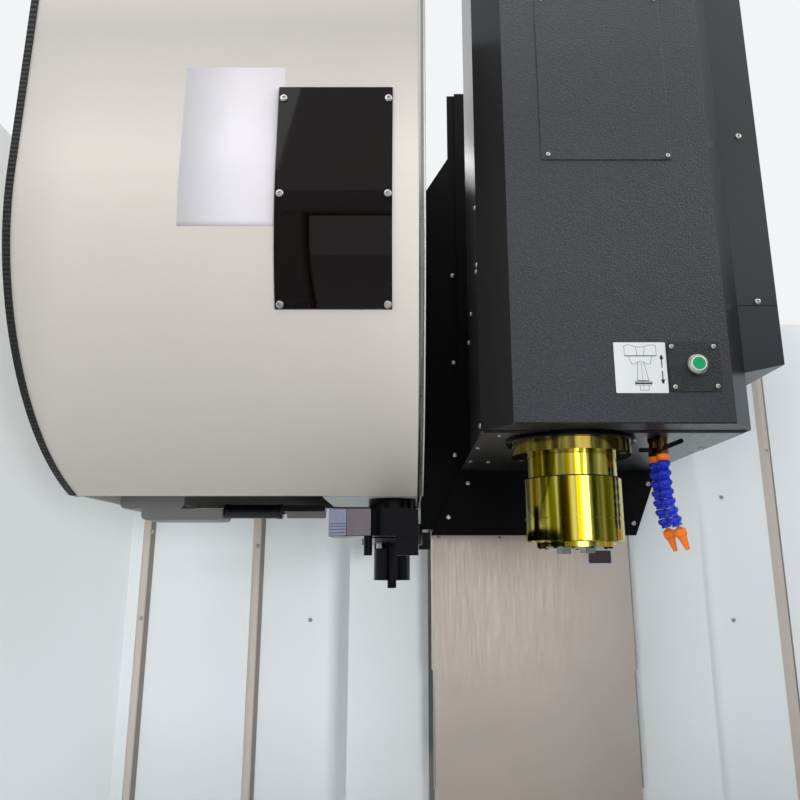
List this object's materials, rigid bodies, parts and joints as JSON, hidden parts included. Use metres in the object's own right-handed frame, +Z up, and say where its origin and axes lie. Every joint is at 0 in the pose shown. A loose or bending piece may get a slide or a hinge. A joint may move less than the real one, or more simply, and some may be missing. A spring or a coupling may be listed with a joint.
{
  "type": "vertical machining center",
  "caption": "Vertical machining center with an arm-type tool changer, drum magazine, gold-coated spindle nose, T-slotted table and a sheet-metal enclosure with sliding doors.",
  "frame": {"origin": "middle of the footprint, on the floor", "axes": "+X to the operator's right, +Y to the back of the machine, +Z up"},
  "size_m": [1.92, 2.29, 2.618],
  "materials": {
    "painted_casting": "cast iron, satin machine enamel",
    "ground_steel": "ground and polished steel",
    "black_textured": "coarse textured black powder coat",
    "black_gloss": "smooth gloss black enamel",
    "light_steel": "plain reflective sheet steel",
    "cream_enamel": "cream white satin powder coat",
    "pale_enamel": "pale bluish white powder coat",
    "stainless": "brushed stainless steel sheet",
    "gold_steel": "gold coated polished steel",
    "black_oxide": "black oxide steel",
    "motor_black": "black motor paint",
    "brass": "machined brass",
    "blue_plastic": "moulded blue acetal",
    "orange_plastic": "moulded orange acetal",
    "green_plastic": "moulded green push button",
    "red_plastic": "moulded red mushroom button",
    "pot_plastic": "moulded dark grey nylon",
    "smoked_acrylic": "smoked amber acrylic",
    "clear_pane": "clear polycarbonate",
    "rubber_trim": "extruded black rubber",
    "grey_enamel": "grey satin powder coat",
    "panel_grey": "grey panel housing"
  },
  "bodies": {
    "frame": {"leveling_feet": "black_oxide", "base_casting": "painted_casting", "linear_rails": "ground_steel", "servo_motors": "motor_black", "column_casting": "painted_casting", "way_cover_lower": "stainless", "magazine_bracket": "painted_casting", "magazine_rim_cover": "cream_enamel", "magazine_side_covers": "cream_enamel", "magazine_edge_trim": "rubber_trim", "magazine_window": "smoked_acrylic", "drip_trays": "grey_enamel", "changer_cam_box": "painted_casting", "enclosure_left_wall": "pale_enamel", "enclosure_right_wall": "pale_enamel", "enclosure_rear_wall": "pale_enamel", "enclosure_front": "pale_enamel", "coolant_tank": "grey_enamel", "electrical_cabinet": "pale_enamel"},
    "saddle": {"saddle_casting": "painted_casting", "x_rails": "ground_steel", "x_motor": "motor_black"},
    "table": {"table": "ground_steel"},
    "y_screw": {"y_ballscrew": "ground_steel"},
    "x_screw": {"x_ballscrew": "ground_steel"},
    "z_screw": {"z_ballscrew": "ground_steel"},
    "head": {"head_casting": "painted_casting", "head_front_cover": "black_textured", "head_side_covers": "black_gloss", "head_bottom_plate": "light_steel", "head_rear_guard": "black_gloss", "head_side_duct": "black_gloss", "release_button_plate": "black_gloss", "way_cover_upper": "stainless", "spindle_housing": "gold_steel", "spindle_seal_ring": "black_oxide", "spindle_bearings": "ground_steel", "spindle_motor": "motor_black", "release_cylinder": "painted_casting", "coolant_valves": "brass", "coolant_hoses": "blue_plastic"},
    "way_cover": {"way_cover_middle": "stainless"},
    "button": {"release_button": "green_plastic"},
    "right_lever": {"valve_lever_right": "black_oxide"},
    "left_lever": {"valve_lever_left": "black_oxide"},
    "right_nozzle": {"nozzle_right": "orange_plastic"},
    "left_nozzle": {"nozzle_left": "orange_plastic"},
    "spindle": {"spindle_shaft": "ground_steel"},
    "drawbar": {"drawbar": "ground_steel"},
    "magazine": {"magazine_disc": "ground_steel", "tool_pots": "pot_plastic"},
    "pot": {"swing_pot": "pot_plastic"},
    "quill": {"arm_quill": "ground_steel"},
    "arm": {"tool_arm": "black_oxide"},
    "left_door": {"door_left": "pale_enamel", "door_window_left": "clear_pane"},
    "right_door": {"door_right": "pale_enamel", "door_window_right": "clear_pane"},
    "panel": {"control_panel": "panel_grey"},
    "stop": {"emergency_stop": "red_plastic"}
  },
  "joints": [
    {"name": "y_axis", "type": "slide", "parent": "frame", "child": "saddle", "axis": [0, 1, 0], "range_m": [-0.2, 0.2]},
    {"name": "x_axis", "type": "slide", "parent": "saddle", "child": "table", "axis": [1, 0, 0], "range_m": [-0.3, 0.3]},
    {"name": "z_axis", "type": "slide", "parent": "frame", "child": "head", "axis": [0, 0, 1], "range_m": [-0.49, 0.06]},
    {"name": "y_screw_turn", "type": "hinge", "parent": "frame", "child": "y_screw", "pos_m": [0, -0.135, 0.515], "axis": [0, 1, 0], "range_deg": [-6100, 6100]},
    {"name": "x_screw_turn", "type": "hinge", "parent": "saddle", "child": "x_screw", "pos_m": [0, -0.135, 0.715], "axis": [1, 0, 0], "range_deg": [-9100, 9100]},
    {"name": "z_screw_turn", "type": "hinge", "parent": "frame", "child": "z_screw", "pos_m": [0, 0.385, 1.7], "axis": [0, 0, 1], "range_deg": [-14800, 1900]},
    {"name": "way_cover_slide", "type": "slide", "parent": "frame", "child": "way_cover", "axis": [0, 0, 1], "range_m": [-0.246, 0.031]},
    {"name": "spindle_turn", "type": "hinge", "parent": "head", "child": "spindle", "pos_m": [0, -0.135, 1.5], "axis": [0, 0, 1], "continuous": true},
    {"name": "drawbar_push", "type": "slide", "parent": "spindle", "child": "drawbar", "axis": [0, 0, -1], "range_m": [0, 0.006], "stiffness_N_per_m": 60000},
    {"name": "release_button_press", "type": "slide", "parent": "head", "child": "button", "axis": [0, 1, 0], "range_m": [0, 0.004], "stiffness_N_per_m": 600},
    {"name": "right_lever_turn", "type": "hinge", "parent": "head", "child": "right_lever", "pos_m": [0.133, -0.189, 1.648], "axis": [0, 1, 0], "range_deg": [0, 90]},
    {"name": "left_lever_turn", "type": "hinge", "parent": "head", "child": "left_lever", "pos_m": [0.13, -0.159, 1.648], "axis": [0, -1, 0], "range_deg": [0, 90]},
    {"name": "right_nozzle_swivel", "type": "hinge", "parent": "head", "child": "right_nozzle", "pos_m": [0.14613, -0.175, 1.53148], "axis": [0, 1, 0], "range_deg": [-20, 20]},
    {"name": "left_nozzle_swivel", "type": "hinge", "parent": "head", "child": "left_nozzle", "pos_m": [0.14041, -0.145, 1.53089], "axis": [0, 1, 0], "range_deg": [-20, 20]},
    {"name": "magazine_turn", "type": "hinge", "parent": "frame", "child": "magazine", "pos_m": [-0.5, -0.062, 1.956], "axis": [1, 0, 0], "continuous": true},
    {"name": "pot_swing", "type": "hinge", "parent": "magazine", "child": "pot", "pos_m": [-0.566, -0.062, 1.646], "axis": [0, -1, 0], "range_deg": [0, 90]},
    {"name": "arm_plunge", "type": "slide", "parent": "frame", "child": "quill", "axis": [0, 0, -1], "range_m": [0, 0.135]},
    {"name": "arm_swing", "type": "hinge", "parent": "quill", "child": "arm", "pos_m": [-0.283, -0.0985, 1.519], "axis": [0, 0, 1], "range_deg": [0, 180]},
    {"name": "left_door_slide", "type": "slide", "parent": "frame", "child": "left_door", "axis": [1, 0, 0], "range_m": [0, 0.47]},
    {"name": "right_door_slide", "type": "slide", "parent": "frame", "child": "right_door", "axis": [-1, 0, 0], "range_m": [0, 0.47]},
    {"name": "panel_swing", "type": "hinge", "parent": "frame", "child": "panel", "pos_m": [0.942, -1.085, 1.4], "axis": [0, 0, 1], "range_deg": [0, 90]},
    {"name": "stop_press", "type": "slide", "parent": "panel", "child": "stop", "axis": [0, 1, 0], "range_m": [0, 0.005], "stiffness_N_per_m": 800}
  ],
  "couplings": [
    {"joint": "y_screw_turn", "follows": "y_axis", "rad_per_m": 523.6},
    {"joint": "x_screw_turn", "follows": "x_axis", "rad_per_m": 523.6},
    {"joint": "z_screw_turn", "follows": "z_axis", "rad_per_m": 523.6},
    {"joint": "way_cover_slide", "follows": "z_axis", "ratio": 0.5},
    {"joint": "arm_swing", "follows": "arm_plunge", "rad_per_m": 23.27}
  ]
}
